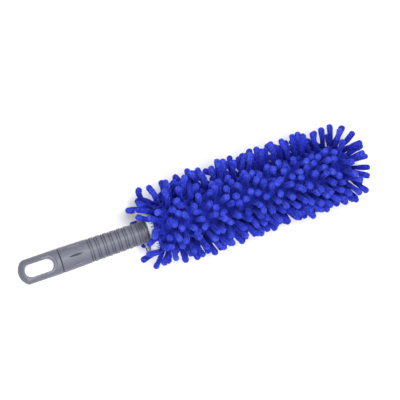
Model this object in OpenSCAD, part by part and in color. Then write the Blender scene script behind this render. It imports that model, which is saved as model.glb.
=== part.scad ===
// Wheel brush: an oval hollow grip with a hanging loop, a flexible core strip between two foam
// pads, and a removable chenille sleeve whose noodles stand in rows round the head.
// Millimetres. +Y runs from the hanging loop to the tip, +Z is up and +X is to the right.
// The origin lies under the middle of the brush, on the surface the lowest noodle tips rest on.

/* [Overall] */
// Length from the end of the hanging loop to the ends of the tip noodles
total_length = 450; // [430:5:480]
// Distance from the end of the hanging loop to the sleeve's mouth
mouth_from_end = 157; // [156.5:0.5:159]

/* [Hanging loop] */
// Length of the hanging cap, up to its joint with the grip
cap_length = 52; // [50:1:54]
// Radius of the loop's end in plan
loop_end_radius = 18.4; // [17.5:0.1:20]
// Radius of the corners between the end and the sides
loop_corner_radius = 6.5; // [5:0.5:7.5]
// Thickness of the loop at its end
loop_thickness = 15; // [13:0.5:18]
// Length of the hanging slot, end to end
slot_length = 36; // [33:1:37]
// Width of the hanging slot
slot_width = 15.5; // [14:0.5:16]
// Rim left between the loop's end and the slot
slot_rim = 8; // [7:0.5:9]
// Height of the slot's straight wall, between its two bevels
slot_wall = 12; // [11:0.5:13]
// Outward run of the bevel at the top of its cut
slot_bevel = 2.4; // [1.5:0.1:2.8]

/* [Grip] */
// Width of the grip at the cap
grip_rear_width = 30.4; // [30:0.2:32]
// Width of the grip at the collar
grip_front_width = 26.8; // [26.4:0.1:28]
// Thickness of the grip as a share of its width
grip_flatness = 0.84; // [0.82:0.01:0.9]
// Chamfer on each side of the joint groove
joint_chamfer = 0.9; // [0.7:0.1:1.1]
// Open gap between the cap and the grip
joint_gap = 0.6; // [0.4:0.1:0.6]
// Number of double ring grooves
groove_count = 8; // [5:1:8]
// Distance from the loop's end to the first groove
first_groove = 90; // [89:1:90]
// Distance between grooves
groove_pitch = 8.7; // [8.4:0.1:8.7]
// Width of a double groove
groove_width = 4.6; // [3.4:0.2:4.6]
// Depth of a double groove
groove_depth = 1; // [0.6:0.1:1.1]
// Number of lens-shaped dimples round the grip
dimple_count = 8; // [6:1:10]
// Distance from the loop's end to the middle of the dimples
dimple_from_end = 71.5; // [70:0.5:73]
// Depth of a dimple
dimple_depth = 1.4; // [1:0.1:1.5]
// Radius of the disc that cuts a dimple
dimple_disc_radius = 36; // [30:1:40]

/* [Neck] */
// How far the sleeve's mouth lies behind the collar's front face
collar_cover = 15; // [15:0.5:16]
// Length of the collar in front of the grip
collar_length = 17.5; // [17:0.5:17.5]
// Width of the collar over its rings
collar_width = 28.2; // [27.8:0.1:29]
// Number of rings on the collar
collar_rings = 5; // [3:1:5]
// Distance between the rings
collar_ring_pitch = 3; // [2.6:0.1:3.1]
// Radius of the grip's end bores
bore_radius = 8.7; // [8.2:0.1:9]
// Play between a spigot and its bore, per side
spigot_play = 0.05; // [0.02:0.01:0.1]
// Length of the cap's spigot
cap_spigot = 16; // [12:1:17]
// Length of the collar's spigot
collar_spigot = 34; // [30:1:35]
// Diameter of the retaining pins
pin_diameter = 3.2; // [2.6:0.1:3.6]

/* [Core] */
// Thickness of the core strip
strip_thickness = 2.4; // [2:0.1:2.6]
// Width of the strip at the neck
neck_width = 14; // [12:0.5:14.5]
// Width of the blade inside the head
blade_width = 34; // [28:1:38]
// Distance from the collar's front face to the bending line
bend_ahead = 3; // [2.6:0.1:3.4]
// Radius of the rounded root of the blade
knuckle_radius = 2.2; // [2:0.1:2.4]
// Gap round the knuckle
knuckle_gap = 0.4; // [0.3:0.05:0.5]
// Number of windows in the blade
window_count = 6; // [4:1:8]

/* [Sleeve] */
// Width of the backing tube
sleeve_width = 53; // [51:0.5:56]
// Height of the backing tube
sleeve_height = 38; // [37:0.5:42]
// Thickness of the backing
backing_wall = 1.2; // [1:0.1:1.6]
// Thickness of the lining
lining_wall = 0.75; // [0.6:0.05:0.9]
// Play between the lining and the foam, per side
sleeve_play = 0.4; // [0.35:0.05:0.6]
// Length of the cuff band
cuff_length = 11.5; // [10:0.5:12]
// How far the cuff band stands out from the backing
cuff_stand = 1; // [0.6:0.1:1.4]

/* [Noodles] */
// Diameter of a noodle
noodle_diameter = 7; // [6:0.2:7.4]
// Length of a noodle
noodle_length = 27; // [22:0.5:30]
// Diameter of the flat at a noodle's tip
noodle_tip_diameter = 3.6; // [3:0.2:4.4]
// Length of the tapered end of a noodle
noodle_taper = 3.4; // [2.5:0.1:4]

/* [Hidden] */
eps = 0.01;
cut = 40;
fine = 64;
smooth = 180;
// The sleeve's section is an oval with this many flat facets; a row has a noodle on every second one
facets = 32;
facet_angle = 360 / facets;
facet_middle = cos(facet_angle / 2);
noodle_sides = 8;
row_count = 26;
seam_facet = 12;

y_end = -total_length / 2;
y_tip = total_length / 2;
y_joint = y_end + cap_length;
y_mouth = y_end + mouth_from_end;
y_collar_front = y_mouth + collar_cover;
y_collar_rear = y_collar_front - collar_length;
y_bend = y_collar_front + bend_ahead;
y_cuff_front = y_mouth + cuff_length;

sleeve_a = sleeve_width / 2;
sleeve_b = sleeve_height / 2;
noodle_r = noodle_diameter / 2;
noodle_tip_r = noodle_tip_diameter / 2;

// The nose narrows in two steps: station heights before the flat end, and the share of the section left
nose_end = y_tip - noodle_length;
nose_steps = [20, 8, 0];
nose_shares = [1, 0.78, 0.42];
nose_shift = [0.25, 0.6, 1];
nose_start = nose_end - nose_steps[0];
row_first = y_cuff_front + 5;
row_last = nose_start - 6;
row_pitch = (row_last - row_first) / (row_count - 1);

// The two lowest noodles of the head stand half a facet to either side of straight down
low_angle = facet_angle / 2;
low_normal = [sleeve_b * sin(low_angle), sleeve_a * cos(low_angle)] /
    norm([sleeve_b * sin(low_angle), sleeve_a * cos(low_angle)]);
z_axis = sleeve_b * facet_middle * cos(low_angle) + noodle_length * low_normal.y
    + noodle_tip_r * cos(180 / noodle_sides) * low_normal.x;

grip_rear_r = grip_rear_width / 2;
grip_front_r = grip_front_width / 2;
foam_inset = backing_wall + lining_wall + sleeve_play;
foam_rear = y_bend + 5;
foam_front = nose_end - 14;
spigot_r = bore_radius - spigot_play;
pin_places = [y_collar_rear - 11, y_collar_rear - 25];
pin_play = 0.05;
strip_play = 0.15;

handle_grey = [0.52, 0.53, 0.58];
strip_grey = [0.30, 0.31, 0.33];
pin_steel = [0.72, 0.73, 0.75];
foam_grey = [0.36, 0.37, 0.40];
lining_beige = [0.70, 0.68, 0.66];
cuff_white = [0.88, 0.89, 0.93];
backing_blue = [0.13, 0.16, 0.50];
noodle_blue = [0.16, 0.21, 0.67];
stitch_blue = [0.20, 0.27, 0.75];

// Places children drawn along +Z so that they run along +Y from y, on the brush's long axis
module along_y(y) {
    translate([0, y, z_axis])
        rotate([-90, 0, 0])
            children();
}

// The grip's land radius at a distance from the loop's end
function land(s) = grip_rear_r
    + (grip_front_r - grip_rear_r) * (s - cap_length) / (mouth_from_end - cap_length);

// Faceted oval with half axes a and b
module oval(a, b) {
    polygon([for (i = [0 : facets - 1]) [a * cos(i * facet_angle), b * sin(i * facet_angle)]]);
}

// Stations along the sleeve's shape set in by inset: position on Y and share of the full section
function stations(inset, y_from) = concat(
    [[y_from, 1]],
    [for (i = [0 : 2]) [nose_end - nose_steps[i] - inset * nose_shift[i], nose_shares[i]]]
);

function station_points(inset, y_from) = [
    for (s = stations(inset, y_from))
        for (k = [0 : facets - 1]) [
            (sleeve_a - inset) * s[1] * cos(k * facet_angle),
            s[0],
            z_axis + (sleeve_b - inset) * s[1] * sin(k * facet_angle)
        ]
];

// Four-cornered faces between neighbouring rings of points, of which the first is number start
function band_faces(start, bands) = [
    for (i = [0 : bands - 1])
        for (k = [0 : facets - 1])
            let (a = start + i * facets, next = (k + 1) % facets)
                [a + k, a + next, a + facets + next, a + facets + k]
];

function ring_face(start) = [for (k = [0 : facets - 1]) start + k];

function reversed(face) = [for (i = [len(face) - 1 : -1 : 0]) face[i]];

// Solid of the sleeve's shape, set in by inset on every side, with its two-step nose
module oval_body(inset, y_from) {
    polyhedron(
        station_points(inset, y_from),
        concat(band_faces(0, 3), [reversed(ring_face(0)), ring_face(3 * facets)])
    );
}

// Open-mouthed shell of that shape, from inset to inset + wall
module oval_shell(inset, wall, y_from) {
    inner = 4 * facets;
    polyhedron(
        concat(station_points(inset, y_from), station_points(inset + wall, y_from)),
        concat(
            band_faces(0, 3),
            [for (f = band_faces(inner, 3)) reversed(f)],
            [
                for (k = [0 : facets - 1])
                    let (next = (k + 1) % facets) [inner + k, inner + next, next, k]
            ],
            [ring_face(3 * facets), reversed(ring_face(inner + 3 * facets))]
        )
    );
}

// Oval ring between two insets, from y_from to y_to
module oval_ring(outset, inset, y_from, y_to) {
    difference() {
        along_y(y_from)
            linear_extrude(y_to - y_from)
                oval(sleeve_a + outset, sleeve_b + outset);
        along_y(y_from - eps)
            linear_extrude(y_to - y_from + 2 * eps)
                oval(sleeve_a - inset, sleeve_b - inset);
    }
}

// Loop body: a rounded end that runs into the grip's oval section
module loop_body() {
    tube = loop_end_radius - loop_corner_radius;
    corner_x = grip_rear_r - loop_corner_radius;
    corner_y = loop_end_radius - sqrt(tube * tube - corner_x * corner_x);
    swell = loop_thickness / 2 / loop_corner_radius;
    hull() {
        along_y(y_joint - joint_chamfer)
            scale([1, grip_flatness, 1])
                cylinder(h = joint_chamfer, r1 = grip_rear_r, r2 = grip_rear_r - joint_chamfer, $fn = fine);
        along_y(y_joint - 4)
            scale([1, grip_flatness, 1])
                cylinder(h = 3, r = grip_rear_r, $fn = fine);
        intersection() {
            translate([0, y_end + loop_end_radius, z_axis])
                rotate_extrude($fn = 40)
                    translate([tube, 0])
                        scale([1, swell])
                            circle(r = loop_corner_radius, $fn = 16);
            translate([-corner_x, y_end - 1, z_axis - loop_thickness])
                cube([2 * corner_x, corner_y + 1, 2 * loop_thickness]);
        }
        for (side = [-1, 1])
            translate([side * corner_x, y_end + corner_y, z_axis])
                scale([1, 1, swell])
                    sphere(r = loop_corner_radius, $fn = 20);
    }
}

// Hanging slot: straight walls, a bevel to each face, and a step at its grip end
module hang_slot() {
    r = slot_width / 2;
    run = slot_length - slot_width;
    rise = 8;
    under = 1.2;
    slope = slot_bevel / rise;
    wide = r + slot_bevel;
    narrow = r - under * slope;
    bevel_floor = slot_wall / 2 - under;
    step_r = r + 3;
    step_floor = slot_wall / 2 + 2.6;
    translate([0, y_end + slot_rim + r, z_axis]) {
        translate([0, 0, -cut])
            linear_extrude(2 * cut)
                union() {
                    circle(r = r, $fn = fine);
                    translate([0, run])
                        circle(r = r, $fn = fine);
                    translate([-r, 0])
                        square([2 * r, run]);
                }
        for (flip = [0, 1])
            mirror([0, 0, flip]) {
                for (y = [0, run])
                    translate([0, y, bevel_floor])
                        cylinder(h = rise + under, r1 = narrow, r2 = wide, $fn = fine);
                translate([0, run, bevel_floor])
                    rotate([90, 0, 0])
                        linear_extrude(run)
                            polygon([[-narrow, 0], [narrow, 0], [wide, rise + under], [-wide, rise + under]]);
                translate([0, run, step_floor])
                    cylinder(h = cut, r = step_r, $fn = fine);
            }
    }
}

module hang_cap() {
    color(handle_grey)
        union() {
            difference() {
                loop_body();
                hang_slot();
                translate([-cut, y_joint - joint_gap, z_axis - cut])
                    cube([2 * cut, cut, 2 * cut]);
            }
            along_y(y_joint - 2)
                cylinder(h = cap_spigot + 2, r = spigot_r, $fn = 48);
        }
}

// Profile of the grip's outside, as radius and distance from the loop's end
function groove_points(s) = let (
    half = groove_width / 2,
    ring = groove_width * 0.14,
    wall = groove_width * 0.06,
    low = groove_depth,
    top = groove_depth * 0.2
) [
    [land(s - half), s - half],
    [land(s) - low, s - half + wall],
    [land(s) - low, s - ring - wall],
    [land(s) - top, s - ring],
    [land(s) - top, s + ring],
    [land(s) - low, s + ring + wall],
    [land(s) - low, s + half - wall],
    [land(s + half), s + half]
];

module grip_profile() {
    s_rear = cap_length;
    s_front = y_collar_rear - y_end;
    grooves = [
        for (k = [0 : groove_count - 1])
            for (p = groove_points(first_groove + k * groove_pitch)) p
    ];
    polygon(concat(
        [[0, s_rear], [land(s_rear) - joint_chamfer, s_rear], [land(s_rear), s_rear + joint_chamfer]],
        grooves,
        [[land(s_front), s_front - 0.6], [land(s_front) - 0.6, s_front], [0, s_front]]
    ));
}

// Lens-shaped cut: the sharp rim of a disc sunk into the surface
module dimple() {
    half = 3;
    rim = dimple_disc_radius - 2 * dimple_depth;
    translate([land(dimple_from_end) + dimple_disc_radius - dimple_depth, 0, dimple_from_end])
        rotate([90, 0, 0])
            rotate_extrude($fn = 120)
                polygon([[0, -half], [rim, -half], [dimple_disc_radius, 0], [rim, half], [0, half]]);
}

module grip_body() {
    wall = 3.4;
    s_rear = cap_length + cap_spigot + 1;
    s_front = y_collar_rear - y_end - collar_spigot - 1;
    color(handle_grey)
        difference() {
            along_y(y_end)
                scale([1, grip_flatness, 1])
                    difference() {
                        rotate_extrude($fn = smooth)
                            grip_profile();
                        for (k = [0 : dimple_count - 1])
                            rotate([0, 0, k * 360 / dimple_count + 90])
                                dimple();
                        rotate_extrude($fn = smooth)
                            polygon([
                                [0, s_rear], [land(s_rear) - wall, s_rear],
                                [land(s_front) - wall, s_front], [0, s_front]
                            ]);
                    }
            along_y(y_joint - eps)
                cylinder(h = cap_spigot + 2, r = bore_radius, $fn = 48);
            along_y(y_collar_rear - collar_spigot - 2)
                cylinder(h = collar_spigot + 2 + eps, r = bore_radius, $fn = 48);
        }
}

// Profile of the collar with its rounded rings, as radius and distance from its rear face
module collar_profile() {
    r_ring = collar_width / 2;
    r_low = r_ring - 0.9;
    first = collar_length - 1.6 - (collar_rings - 1) * collar_ring_pitch;
    rings = [
        for (k = [0 : collar_rings - 1])
            let (s = first + k * collar_ring_pitch)
                for (p = [[r_low, s - 1], [r_ring, s - 0.6], [r_ring, s + 0.6], [r_low, s + 1]]) p
    ];
    polygon(concat([[0, 0], [r_low - 0.4, 0]], rings, [[r_low - 0.6, collar_length], [0, collar_length]]));
}

// Box on the long axis, between two heights along it
module flat_passage(width, height, y_from, y_to) {
    translate([-width / 2, y_from, z_axis - height / 2])
        cube([width, y_to - y_from, height]);
}

module neck_collar() {
    y_rear = y_collar_rear - collar_spigot;
    color(handle_grey)
        difference() {
            union() {
                along_y(y_collar_rear)
                    scale([1, grip_flatness, 1])
                        rotate_extrude($fn = 48)
                            collar_profile();
                along_y(y_rear)
                    cylinder(h = collar_spigot + 2, r = spigot_r, $fn = 48);
            }
            flat_passage(neck_width + 2 * strip_play, strip_thickness + 2 * strip_play, y_rear - 1, y_bend);
            flat_passage(neck_width + 0.8, 2 * knuckle_radius + 1.2, y_collar_front - 4, y_bend);
            for (y = pin_places)
                translate([0, y, z_axis - cut])
                    cylinder(h = 2 * cut, d = pin_diameter + 2 * pin_play, $fn = 32);
        }
}

// Anchored part of the core strip, with a hollow seat for the blade's rounded root
module strip_tang() {
    y_rear = y_collar_rear - collar_spigot + 1;
    color(strip_grey)
        difference() {
            union() {
                translate([-neck_width / 2, y_rear, z_axis - strip_thickness / 2])
                    cube([neck_width, y_bend - y_rear, strip_thickness]);
                translate([-neck_width / 2, y_collar_front - 3, z_axis - knuckle_radius])
                    cube([neck_width, y_bend - y_collar_front + 3, 2 * knuckle_radius]);
            }
            translate([-cut / 2, y_bend, z_axis])
                rotate([0, 90, 0])
                    cylinder(h = cut, r = knuckle_radius + knuckle_gap, $fn = 48);
            for (y = pin_places)
                translate([0, y, z_axis - cut])
                    cylinder(h = 2 * cut, d = pin_diameter + 2 * pin_play, $fn = 32);
        }
}

module retaining_pins() {
    half = spigot_r - 0.6;
    color(pin_steel)
        for (y = pin_places)
            translate([0, y, z_axis - half])
                cylinder(h = 2 * half, d = pin_diameter, $fn = 32);
}

// Plan of the blade: narrow at the neck, wide in the head, narrowed again at the nose
module blade_plan() {
    half_neck = neck_width / 2;
    half_wide = blade_width / 2;
    y_wide = y_bend + 30;
    y_narrow = nose_end - 22;
    y_blade_end = nose_end - 9;
    polygon([
        [-half_neck, y_bend], [half_neck, y_bend], [half_neck, y_bend + 5],
        [half_wide, y_wide], [half_wide, y_narrow], [half_wide * 0.5, y_blade_end],
        [-half_wide * 0.5, y_blade_end], [-half_wide, y_narrow], [-half_wide, y_wide],
        [-half_neck, y_bend + 5]
    ]);
}

module strip_blade() {
    y_first = y_bend + 45;
    y_last = nose_end - 38;
    pitch = (y_last - y_first) / (window_count - 1);
    window = [blade_width * 0.6, 9];
    color(strip_grey)
        union() {
            difference() {
                translate([0, 0, z_axis - strip_thickness / 2])
                    linear_extrude(strip_thickness)
                        blade_plan();
                for (k = [0 : window_count - 1])
                    translate([-window.x / 2, y_first + k * pitch - window.y / 2, z_axis - strip_thickness])
                        cube([window.x, window.y, 2 * strip_thickness]);
            }
            translate([-neck_width / 2, y_bend, z_axis])
                rotate([0, 90, 0])
                    cylinder(h = neck_width, r = knuckle_radius, $fn = 48);
        }
}

// One foam pad: the half of the core on one side of the strip
module foam_half(side) {
    shift = side > 0 ? 0 : -cut;
    color(foam_grey)
        intersection() {
            oval_body(foam_inset, foam_rear);
            translate([-cut, foam_rear, z_axis + side * strip_thickness / 2 + shift])
                cube([2 * cut, foam_front - foam_rear, cut]);
        }
}

module foam_upper() {
    foam_half(1);
}

module foam_lower() {
    foam_half(-1);
}

// Rounded moulding over the blade's end, filling the nose in front of the foam
module tip_guard() {
    color(strip_grey)
        difference() {
            intersection() {
                oval_body(foam_inset, foam_rear);
                translate([-cut, foam_front, z_axis - cut])
                    cube([2 * cut, cut, 2 * cut]);
            }
            translate([-blade_width * 0.36, foam_front - 1, z_axis - strip_thickness / 2])
                cube([blade_width * 0.72, nose_end - 9 - foam_front + 1 + strip_play, strip_thickness]);
        }
}

module backing() {
    color(backing_blue)
        oval_shell(0, backing_wall, y_cuff_front);
}

module lining() {
    color(lining_beige)
        oval_shell(backing_wall, lining_wall, y_mouth + 1);
}

module cuff_band() {
    color(cuff_white)
        oval_ring(cuff_stand, backing_wall, y_mouth, y_cuff_front);
}

// Outward direction of a facet, on the straight part (drop 0) or on a nose step
function facet_normal(t, drop, rise) =
    let (n = [sleeve_b * cos(t) * rise, drop * facet_middle * sleeve_a * sleeve_b, sleeve_a * sin(t) * rise])
        n / norm(n);

// Stands children on a facet at height y, where the section has the given share of its full size
module on_facet(t, y, share, drop, rise, outset) {
    n = facet_normal(t, drop, rise);
    translate([
        share * facet_middle * (sleeve_a + outset) * cos(t),
        y,
        z_axis + share * facet_middle * (sleeve_b + outset) * sin(t)
    ])
        rotate(a = acos(n.z), v = [-n.y, n.x, 0])
            children();
}

function facet_mid(k) = (k + 0.5) * facet_angle;

// Stitch line of the lengthwise seam, on a facet that carries no noodles
module seam_ridge() {
    t = facet_mid(seam_facet);
    n = facet_normal(t, 0, 1);
    color(backing_blue)
        translate([facet_middle * sleeve_a * cos(t), 0, z_axis + facet_middle * sleeve_b * sin(t)])
            rotate([0, atan2(n.x, n.z), 0])
                translate([-0.8, y_cuff_front, 0])
                    cube([1.6, nose_start - y_cuff_front, 0.8]);
}

// Overlock stitches across the front edge of the cuff band
module cuff_stitches() {
    a = sleeve_a + cuff_stand;
    b = sleeve_b + cuff_stand;
    stitch = [1.3, 4, 0.6];
    color(stitch_blue)
        for (k = [0 : facets - 1]) {
            t = facet_mid(k);
            translate([facet_middle * a * cos(t), y_cuff_front - stitch.y, z_axis + facet_middle * b * sin(t)])
                rotate([0, atan2(b * cos(t), a * sin(t)), 0])
                    translate([-stitch.x / 2, 0, 0])
                        cube(stitch);
        }
}

module noodle() {
    cylinder(h = noodle_length - noodle_taper, r = noodle_r, $fn = noodle_sides);
    translate([0, 0, noodle_length - noodle_taper])
        cylinder(h = noodle_taper, r1 = noodle_r, r2 = noodle_tip_r, $fn = noodle_sides);
}

// Row of noodles round the straight part; odd and even rows are staggered, and the seam is left bare
module noodle_row(number) {
    y = row_first + (number - 1) * row_pitch;
    color(noodle_blue)
        for (k = [number % 2 : 2 : facets - 1])
            if (k != seam_facet)
                on_facet(facet_mid(k), y, 1, 0, 1, 0)
                    noodle();
}

// Row of noodles in the middle of a nose step
module nose_row(step, every) {
    share = (nose_shares[step] + nose_shares[step + 1]) / 2;
    drop = nose_shares[step] - nose_shares[step + 1];
    rise = nose_steps[step] - nose_steps[step + 1];
    y = nose_end - (nose_steps[step] + nose_steps[step + 1]) / 2;
    color(noodle_blue)
        for (k = [0 : every : facets - 1])
            on_facet(facet_mid(k), y, share, drop, rise, 0)
                noodle();
}

module tip_noodles() {
    gap = noodle_diameter + 0.4;
    color(noodle_blue)
        for (k = [-1 : 1])
            along_y(nose_end)
                translate([k * gap, 0, 0])
                    noodle();
}

hang_cap();
grip_body();
neck_collar();
strip_tang();
retaining_pins();
strip_blade();
foam_upper();
foam_lower();
tip_guard();
backing();
lining();
seam_ridge();
cuff_band();
cuff_stitches();
noodle_row(1);  // noodle_row_01
noodle_row(2);  // noodle_row_02
noodle_row(3);  // noodle_row_03
noodle_row(4);  // noodle_row_04
noodle_row(5);  // noodle_row_05
noodle_row(6);  // noodle_row_06
noodle_row(7);  // noodle_row_07
noodle_row(8);  // noodle_row_08
noodle_row(9);  // noodle_row_09
noodle_row(10);  // noodle_row_10
noodle_row(11);  // noodle_row_11
noodle_row(12);  // noodle_row_12
noodle_row(13);  // noodle_row_13
noodle_row(14);  // noodle_row_14
noodle_row(15);  // noodle_row_15
noodle_row(16);  // noodle_row_16
noodle_row(17);  // noodle_row_17
noodle_row(18);  // noodle_row_18
noodle_row(19);  // noodle_row_19
noodle_row(20);  // noodle_row_20
noodle_row(21);  // noodle_row_21
noodle_row(22);  // noodle_row_22
noodle_row(23);  // noodle_row_23
noodle_row(24);  // noodle_row_24
noodle_row(25);  // noodle_row_25
noodle_row(26);  // noodle_row_26
nose_row(0, 2);  // nose_row_outer
nose_row(1, 4);  // nose_row_inner
tip_noodles();
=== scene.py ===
import math

import bpy
import numpy as np
from mathutils import Matrix, Vector


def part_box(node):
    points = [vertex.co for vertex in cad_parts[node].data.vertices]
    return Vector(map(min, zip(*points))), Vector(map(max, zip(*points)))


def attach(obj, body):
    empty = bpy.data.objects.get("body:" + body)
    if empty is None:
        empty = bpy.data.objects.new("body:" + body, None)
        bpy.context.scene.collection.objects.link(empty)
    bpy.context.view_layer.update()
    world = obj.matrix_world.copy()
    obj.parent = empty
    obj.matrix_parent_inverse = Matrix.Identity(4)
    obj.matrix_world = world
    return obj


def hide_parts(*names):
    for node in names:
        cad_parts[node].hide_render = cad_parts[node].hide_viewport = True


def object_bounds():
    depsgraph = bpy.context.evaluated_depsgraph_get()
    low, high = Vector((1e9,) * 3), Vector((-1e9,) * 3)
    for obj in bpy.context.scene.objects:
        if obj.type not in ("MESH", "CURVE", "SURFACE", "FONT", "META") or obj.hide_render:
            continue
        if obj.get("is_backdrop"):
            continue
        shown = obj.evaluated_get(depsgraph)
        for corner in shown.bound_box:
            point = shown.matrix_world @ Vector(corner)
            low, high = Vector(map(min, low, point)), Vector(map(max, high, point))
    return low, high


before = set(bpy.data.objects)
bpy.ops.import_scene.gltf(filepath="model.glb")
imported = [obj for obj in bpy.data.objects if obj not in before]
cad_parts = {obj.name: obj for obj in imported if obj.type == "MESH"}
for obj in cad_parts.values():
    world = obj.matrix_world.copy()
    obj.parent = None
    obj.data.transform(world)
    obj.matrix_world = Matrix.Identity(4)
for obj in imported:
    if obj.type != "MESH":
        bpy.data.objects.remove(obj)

MM = 0.001
rng = np.random.default_rng(41)
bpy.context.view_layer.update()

# ---------------------------------------------------------------- sizes from the CAD frame
back_low, back_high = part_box("backing")
cuff_low, cuff_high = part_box("cuff_band")
cap_low, cap_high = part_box("hang_cap")
foam_low, foam_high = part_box("foam_upper")
under_low, under_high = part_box("foam_lower")
lining_low, lining_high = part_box("lining")
guard_low, guard_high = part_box("tip_guard")
collar_low, collar_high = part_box("neck_collar")
grip_low, grip_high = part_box("grip_body")

AXIS_Z = (back_low.z + back_high.z) / 2
OVAL_A = (back_high.x - back_low.x) / 2
OVAL_B = (back_high.z - back_low.z) / 2
CUFF_A = (cuff_high.x - cuff_low.x) / 2
CUFF_B = (cuff_high.z - cuff_low.z) / 2
Y_MOUTH = cuff_low.y
Y_CUFF_FRONT = cuff_high.y
NOSE_END = back_high.y
NOSE_START = NOSE_END - 20 * MM
NOSE_LONG = 22 * MM
FACETS = 32
SEAM_FACET = 12
LINING_INSET = 1.25 * MM
NOODLE_R = 3.45 * MM
NOODLE_LONG = 27 * MM
GRIP_REAR_R = grip_high.x
GRIP_FRONT_R = 13.4 * MM
GRIP_FLATNESS = (grip_high.z - grip_low.z) / (grip_high.x - grip_low.x)

ROWS = sorted(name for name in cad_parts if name.startswith("noodle_row_"))
ROW_Y = {}
for row in ROWS:
    low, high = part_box(row)
    ROW_Y[row] = (low.y + high.y) / 2


# ---------------------------------------------------------------- small helpers
def unit(v):
    v = np.asarray(v, float)
    return v / np.linalg.norm(v, axis=-1, keepdims=True)


def share_at(y):
    """Share of the full section left at y: 1 on the straight part, then an elliptical nose."""
    u = np.clip((np.asarray(y, float) - NOSE_START) / NOSE_LONG, 0, 1)
    return np.sqrt(np.maximum(1 - u * u, 0))


def make_object(name, verts, faces, material, slots=None, attributes=None, uv=None, smooth=True):
    """Mesh object from arrays. material may be a list; slots gives each face's material number."""
    mesh = bpy.data.meshes.new(name)
    mesh.from_pydata([tuple(v) for v in verts], [], [tuple(f) for f in faces])
    for m in material if isinstance(material, (list, tuple)) else [material]:
        mesh.materials.append(m)
    if slots is not None:
        mesh.polygons.foreach_set("material_index", np.asarray(slots, np.int32))
    for key, values in (attributes or {}).items():
        layer = mesh.attributes.new(key, "FLOAT", "POINT")
        layer.data.foreach_set("value", np.asarray(values, np.float32))
    if uv is not None:
        layer = mesh.uv_layers.new(name="yarn")
        corners = np.zeros(len(mesh.loops), np.int32)
        mesh.loops.foreach_get("vertex_index", corners)
        layer.data.foreach_set("uv", np.asarray(uv, np.float32)[corners].ravel())
    mesh.polygons.foreach_set("use_smooth", [smooth] * len(mesh.polygons))
    mesh.update()
    mesh.validate()
    obj = bpy.data.objects.new(name, mesh)
    bpy.context.scene.collection.objects.link(obj)
    return obj


class Batch:
    """Collects swept tubes and loose fibres into one mesh."""

    def __init__(self):
        self.verts, self.faces, self.slots, self.tone, self.uv, self.count = [], [], [], [], [], 0

    def add(self, verts, faces, slot, tone, uv):
        self.verts.append(verts)
        self.faces += [tuple(i + self.count for i in f) for f in faces]
        self.slots += [slot] * len(faces)
        self.tone.append(tone)
        self.uv.append(uv)
        self.count += len(verts)

    def build(self, name, materials):
        return make_object(
            name,
            np.concatenate(self.verts),
            self.faces,
            materials,
            self.slots,
            {"tone": np.concatenate(self.tone)},
            np.concatenate(self.uv),
        )


def frames_along(path):
    """Unit tangents and a pair of unit normals that don't twist, for each point of an open path."""
    tangent = unit(np.gradient(path, axis=0))
    first = np.cross(tangent[0], [0.3, 0.5, 0.8])
    if np.linalg.norm(first) < 1e-3:
        first = np.cross(tangent[0], [1.0, 0, 0])
    one = [unit(first)]
    for t in tangent[1:]:
        side = one[-1] - t * np.dot(one[-1], t)
        one.append(unit(side))
    one = np.array(one)
    return tangent, one, np.cross(tangent, one)


def tube(path, radii, around, closed=False):
    """Swept tube: (verts, faces). Its ends are closed by a fan, unless the path is closed."""
    n = len(path)
    if closed:
        ahead, behind = np.roll(path, -1, 0), np.roll(path, 1, 0)
        tangent = unit(ahead - behind)
        centre = path.mean(0)
        one = unit(path - centre)
        one = unit(one - tangent * np.sum(one * tangent, 1)[:, None])
        two = np.cross(tangent, one)
    else:
        tangent, one, two = frames_along(path)
    angles = np.arange(around) * 2 * np.pi / around
    radii = np.asarray(radii)
    if radii.ndim == 1:
        radii = radii[:, None] * np.ones(around)
    ring = one[:, None] * np.cos(angles)[None, :, None] + two[:, None] * np.sin(angles)[None, :, None]
    verts = (path[:, None] + ring * radii[:, :, None]).reshape(-1, 3)
    faces = []
    for i in range(n if closed else n - 1):
        j = (i + 1) % n
        for k in range(around):
            m = (k + 1) % around
            faces.append((i * around + k, i * around + m, j * around + m, j * around + k))
    if not closed:
        verts = np.vstack([verts, path[0], path[-1]])
        a, b = n * around, n * around + 1
        for k in range(around):
            m = (k + 1) % around
            faces.append((m, k, a))
            faces.append(((n - 1) * around + k, (n - 1) * around + m, b))
    return verts, faces


# ---------------------------------------------------------------- materials
def new_material(name, rough, sheen=0.0, sheen_rough=0.4, tint=(1, 1, 1), specular=0.5):
    m = bpy.data.materials.new(name)
    m.use_nodes = True
    shader = m.node_tree.nodes["Principled BSDF"]
    shader.inputs["Roughness"].default_value = rough
    shader.inputs["Specular IOR Level"].default_value = specular
    shader.inputs["Sheen Weight"].default_value = sheen
    shader.inputs["Sheen Roughness"].default_value = sheen_rough
    shader.inputs["Sheen Tint"].default_value = (*tint, 1)
    return m, m.node_tree, shader


def node(tree, kind, **inputs):
    made = tree.nodes.new(kind)
    for key, value in inputs.items():
        made.inputs[key.replace("_", " ")].default_value = value
    return made


def noise(tree, vector, scale, detail=3.0, rough=0.5):
    made = node(tree, "ShaderNodeTexNoise", Scale=scale, Detail=detail, Roughness=rough)
    tree.links.new(vector, made.inputs["Vector"])
    return made.outputs["Fac"]


def ramp(tree, fac, stops):
    made = tree.nodes.new("ShaderNodeValToRGB")
    while len(made.color_ramp.elements) < len(stops):
        made.color_ramp.elements.new(0.5)
    for element, (at, colour) in zip(made.color_ramp.elements, stops):
        element.position = at
        element.color = (*colour, 1) if len(colour) == 3 else colour
    tree.links.new(fac, made.inputs["Fac"])
    return made.outputs["Color"]


def maths(tree, operation, a, b):
    made = tree.nodes.new("ShaderNodeMath")
    made.operation = operation
    for socket, value in zip(made.inputs, (a, b)):
        if isinstance(value, (int, float)):
            socket.default_value = value
        else:
            tree.links.new(value, socket)
    return made.outputs[0]


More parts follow.
